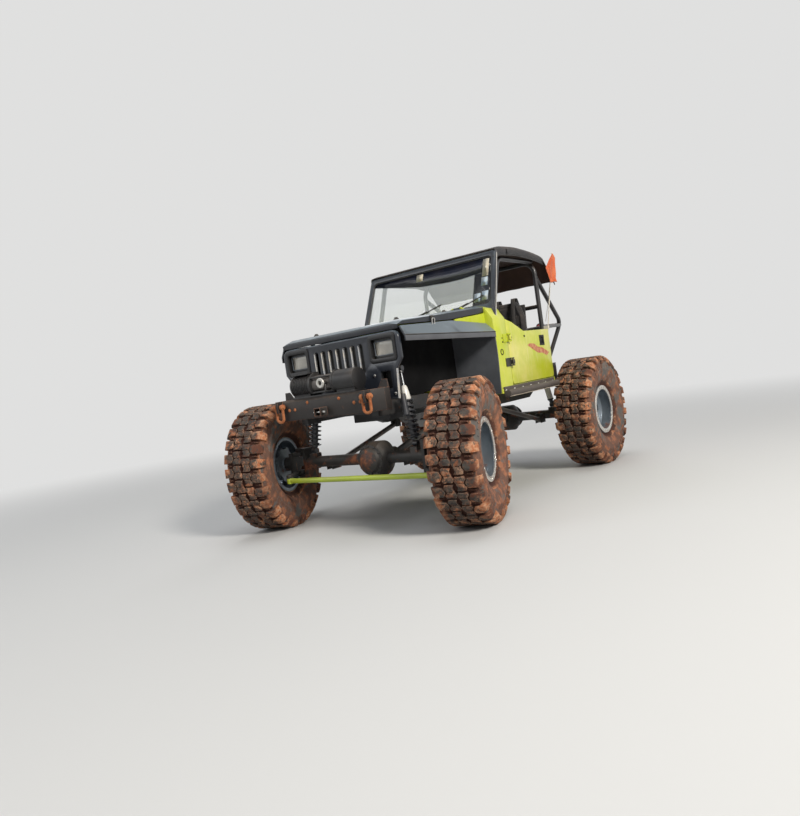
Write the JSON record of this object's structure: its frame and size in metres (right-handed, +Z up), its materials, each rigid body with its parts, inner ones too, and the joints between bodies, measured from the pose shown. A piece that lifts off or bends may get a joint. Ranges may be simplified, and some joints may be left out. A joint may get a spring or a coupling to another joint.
{
  "type": "lifted off-road 4x4",
  "caption": "Lifted short-wheelbase off-road 4x4 with lugged tyres, tube cage, half doors, winch bumper and fabric top; wheels roll, front wheels steer, doors and hood open.",
  "frame": {"origin": "on the floor under the middle of the whole outline, front wheels turned as at rest", "axes": "+Z up, -Y is the way it faces, +X is its left side"},
  "size_m": [2.514, 3.6703, 2.1836],
  "materials": {
    "frame": "semi-gloss black, muddy",
    "skid": "scraped plate",
    "engine": "dull",
    "gearbox": "dull cast",
    "radiator": "dark fins",
    "body_black": "satin black paint",
    "body_lime": "glossy lime paint, dusty",
    "bezel": "matte black",
    "lamp": "ribbed lens",
    "dash": "grained",
    "steering": "satin",
    "glass": "clear",
    "cage": "semi-gloss black",
    "top_fabric": "black woven canvas",
    "seat_fabric": "black cloth",
    "hinge": "worn black",
    "bumper": "black with rust",
    "winch": "semi-gloss black",
    "shackle": "rusty",
    "slider": "scraped and muddy",
    "axle": "muddy",
    "link": "muddy",
    "shock": "white",
    "shaft": "dull",
    "knuckle": "muddy",
    "tie_rod": "lime",
    "tyre": "muddy",
    "rim": "polished lip, grey dish",
    "fuel_cell": "plain",
    "tail_lamp": "red",
    "flag": "orange"
  },
  "bodies": {
    "chassis": {"frame_rails": "frame", "crossmembers": "frame", "belly_skid": "skid", "engine_block": "engine", "gearbox": "gearbox", "radiator": "radiator", "grille": "body_black", "lamp_bezels": "bezel", "headlamps": "lamp", "fenders": "body_black", "tub": "body_lime", "dash": "dash", "steering_wheel": "steering", "windshield_frame": "body_black", "windshield_glass": "glass", "cage_front": "cage", "cage_main": "cage", "cage_rear": "cage", "soft_top": "top_fabric", "seats": "seat_fabric", "door_hinges": "hinge", "front_bumper": "bumper", "winch": "winch", "shackles": "shackle", "rock_sliders": "slider", "front_axle": "axle", "rear_axle": "axle", "links": "link", "coilovers": "shock", "shock_towers": "frame", "drive_shafts": "shaft", "fuel_cell": "fuel_cell", "tail_lamps": "tail_lamp", "flag_whip": "flag"},
    "hood": {"hood": "body_black"},
    "door_left": {"door_left": "body_lime"},
    "door_right": {"door_right": "body_lime"},
    "knuckle_left": {"knuckle_left": "knuckle"},
    "knuckle_right": {"knuckle_right": "knuckle"},
    "tie_rod": {"tie_rod": "tie_rod"},
    "wheel_front_left": {"tyre_front_left": "tyre", "rim_front_left": "rim"},
    "wheel_front_right": {"tyre_front_right": "tyre", "rim_front_right": "rim"},
    "wheel_rear_left": {"tyre_rear_left": "tyre", "rim_rear_left": "rim"},
    "wheel_rear_right": {"tyre_rear_right": "tyre", "rim_rear_right": "rim"}
  },
  "joints": [
    {"name": "hood_hinge", "type": "hinge", "parent": "chassis", "child": "hood", "pos_m": [0, -0.165, 1.649], "axis": [-1, 0, 0], "range_deg": [0, 60]},
    {"name": "door_left_hinge", "type": "hinge", "parent": "chassis", "child": "door_left", "pos_m": [0.785, 0.063, 1.17], "axis": [0, 0, -1], "range_deg": [0, 75]},
    {"name": "door_right_hinge", "type": "hinge", "parent": "chassis", "child": "door_right", "pos_m": [-0.785, 0.063, 1.17], "axis": [0, 0, 1], "range_deg": [0, 75]},
    {"name": "steer_left", "type": "hinge", "parent": "chassis", "child": "knuckle_left", "pos_m": [0.7, -1.185, 0.53287], "axis": [0, 0, 1], "range_deg": [-48, 16]},
    {"name": "steer_right", "type": "hinge", "parent": "chassis", "child": "knuckle_right", "pos_m": [-0.7, -1.185, 0.53287], "axis": [0, 0, 1], "range_deg": [-48, 16]},
    {"name": "tie_rod_pivot", "type": "hinge", "parent": "knuckle_left", "child": "tie_rod", "pos_m": [0.7634, -1.40609, 0.43287], "axis": [0, 0, 1], "range_deg": [-16, 48]},
    {"name": "spin_front_left", "type": "hinge", "parent": "knuckle_left", "child": "wheel_front_left", "pos_m": [0.94032, -1.11609, 0.53287], "axis": [0.9613, 0.2756, 0], "continuous": true},
    {"name": "spin_front_right", "type": "hinge", "parent": "knuckle_right", "child": "wheel_front_right", "pos_m": [-0.94032, -1.25391, 0.53287], "axis": [0.9613, 0.2756, 0], "continuous": true},
    {"name": "spin_rear_left", "type": "hinge", "parent": "chassis", "child": "wheel_rear_left", "pos_m": [0.93, 1.325, 0.53287], "axis": [1, 0, 0], "continuous": true},
    {"name": "spin_rear_right", "type": "hinge", "parent": "chassis", "child": "wheel_rear_right", "pos_m": [-0.93, 1.325, 0.53287], "axis": [1, 0, 0], "continuous": true}
  ],
  "couplings": [
    {"joint": "steer_right", "follows": "steer_left", "ratio": 1},
    {"joint": "tie_rod_pivot", "follows": "steer_left", "ratio": -1}
  ]
}
